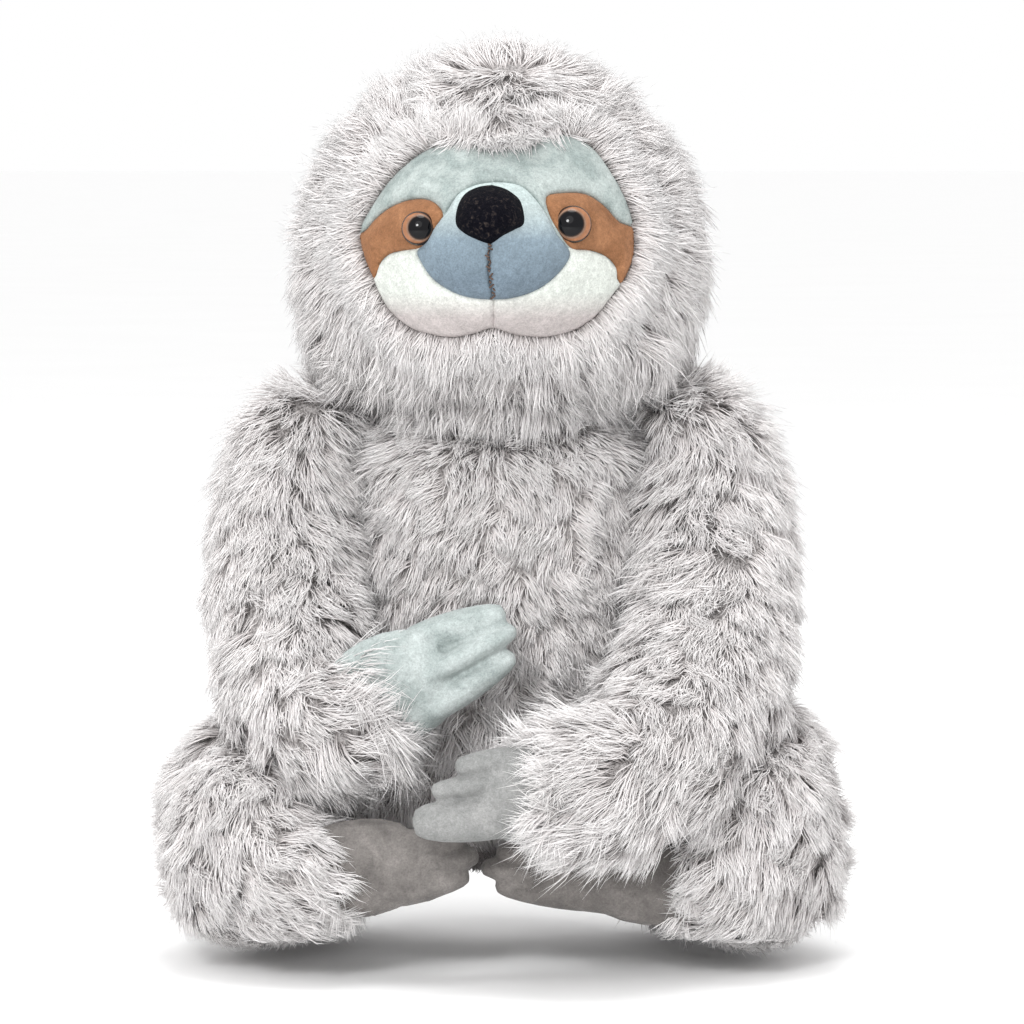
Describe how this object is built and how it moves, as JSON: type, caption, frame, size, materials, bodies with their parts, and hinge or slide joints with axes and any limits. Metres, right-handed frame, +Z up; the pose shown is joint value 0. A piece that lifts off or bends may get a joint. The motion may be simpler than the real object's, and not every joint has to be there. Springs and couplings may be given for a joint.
{
  "type": "plush sloth",
  "caption": "Seated soft toy sloth with long-pile fur, a velour face and jointed head, arms, hands, legs and feet.",
  "frame": {"origin": "on the surface it sits on, under the middle of the whole seated toy", "axes": "+Z up, the face looks along -Y, +X is the toy's own left"},
  "size_m": [0.2648, 0.2113, 0.3472],
  "materials": {
    "grey_fur": "long pile, pale grey with a pink cast, darker at the roots",
    "mint_velour": "short velour",
    "brown_velour": "short velour",
    "blue_velour": "short velour, airbrushed paler at the top",
    "white_velour": "short velour",
    "black_plush": "short plush",
    "amber_eye": "glossy",
    "white_stuffing": "loose polyester fibre",
    "washer_plastic": "moulded"
  },
  "bodies": {
    "torso": {"torso_cover": "grey_fur", "torso_stuffing": "white_stuffing"},
    "neck": {"neck_stuffing": "white_stuffing"},
    "head": {"head_cover": "grey_fur", "head_stuffing": "white_stuffing", "forehead_panel": "mint_velour", "nose": "black_plush", "eye_patch_right": "brown_velour", "eye_patch_left": "brown_velour", "cheek_right": "white_velour", "cheek_left": "white_velour", "muzzle_right": "blue_velour", "muzzle_left": "blue_velour", "eye_right": "amber_eye", "eye_left": "amber_eye", "eye_washer_right": "washer_plastic", "eye_washer_left": "washer_plastic"},
    "arm_right": {"arm_cover_right": "grey_fur", "arm_stuffing_right": "white_stuffing"},
    "arm_left": {"arm_cover_left": "grey_fur", "arm_stuffing_left": "white_stuffing"},
    "hand_right": {"hand_cover_right": "mint_velour", "hand_stuffing_right": "white_stuffing"},
    "hand_left": {"hand_cover_left": "mint_velour", "hand_stuffing_left": "white_stuffing"},
    "leg_right": {"leg_cover_right": "grey_fur", "leg_stuffing_right": "white_stuffing"},
    "leg_left": {"leg_cover_left": "grey_fur", "leg_stuffing_left": "white_stuffing"},
    "foot_right": {"foot_cover_right": "mint_velour", "foot_stuffing_right": "white_stuffing"},
    "foot_left": {"foot_cover_left": "mint_velour", "foot_stuffing_left": "white_stuffing"}
  },
  "joints": [
    {"name": "neck_turn", "type": "hinge", "parent": "torso", "child": "neck", "pos_m": [0, 0.0355, 0.262], "axis": [0, 0, 1], "range_deg": [-25, 25]},
    {"name": "neck_nod", "type": "hinge", "parent": "neck", "child": "head", "pos_m": [0, 0.0355, 0.262], "axis": [1, 0, 0], "range_deg": [-8, 8]},
    {"name": "shoulder_right", "type": "hinge", "parent": "torso", "child": "arm_right", "pos_m": [-0.056, 0.0405, 0.185], "axis": [-1, 0, 0], "range_deg": [0, 50]},
    {"name": "shoulder_left", "type": "hinge", "parent": "torso", "child": "arm_left", "pos_m": [0.056, 0.0405, 0.185], "axis": [-1, 0, 0], "range_deg": [0, 50]},
    {"name": "hip_right", "type": "hinge", "parent": "torso", "child": "leg_right", "pos_m": [-0.056, 0.0455, 0.062], "axis": [1, 0, 0], "range_deg": [0, 40]},
    {"name": "hip_left", "type": "hinge", "parent": "torso", "child": "leg_left", "pos_m": [0.056, 0.0455, 0.062], "axis": [1, 0, 0], "range_deg": [0, 40]},
    {"name": "wrist_right", "type": "hinge", "parent": "arm_right", "child": "hand_right", "pos_m": [-0.04445, -0.04801, 0.10517], "axis": [0.3746, 0, -0.9272], "range_deg": [0, 25]},
    {"name": "wrist_left", "type": "hinge", "parent": "arm_left", "child": "hand_left", "pos_m": [0.02071, -0.08097, 0.07571], "axis": [-0.225, 0, 0.9744], "range_deg": [0, 25]},
    {"name": "ankle_right", "type": "hinge", "parent": "leg_right", "child": "foot_right", "pos_m": [-0.05682, -0.05857, 0.04038], "axis": [0.1564, 0, -0.9877], "range_deg": [-15, 10]},
    {"name": "ankle_left", "type": "hinge", "parent": "leg_left", "child": "foot_left", "pos_m": [0.06557, -0.05071, 0.03571], "axis": [0.1045, 0, 0.9945], "range_deg": [-15, 10]}
  ]
}
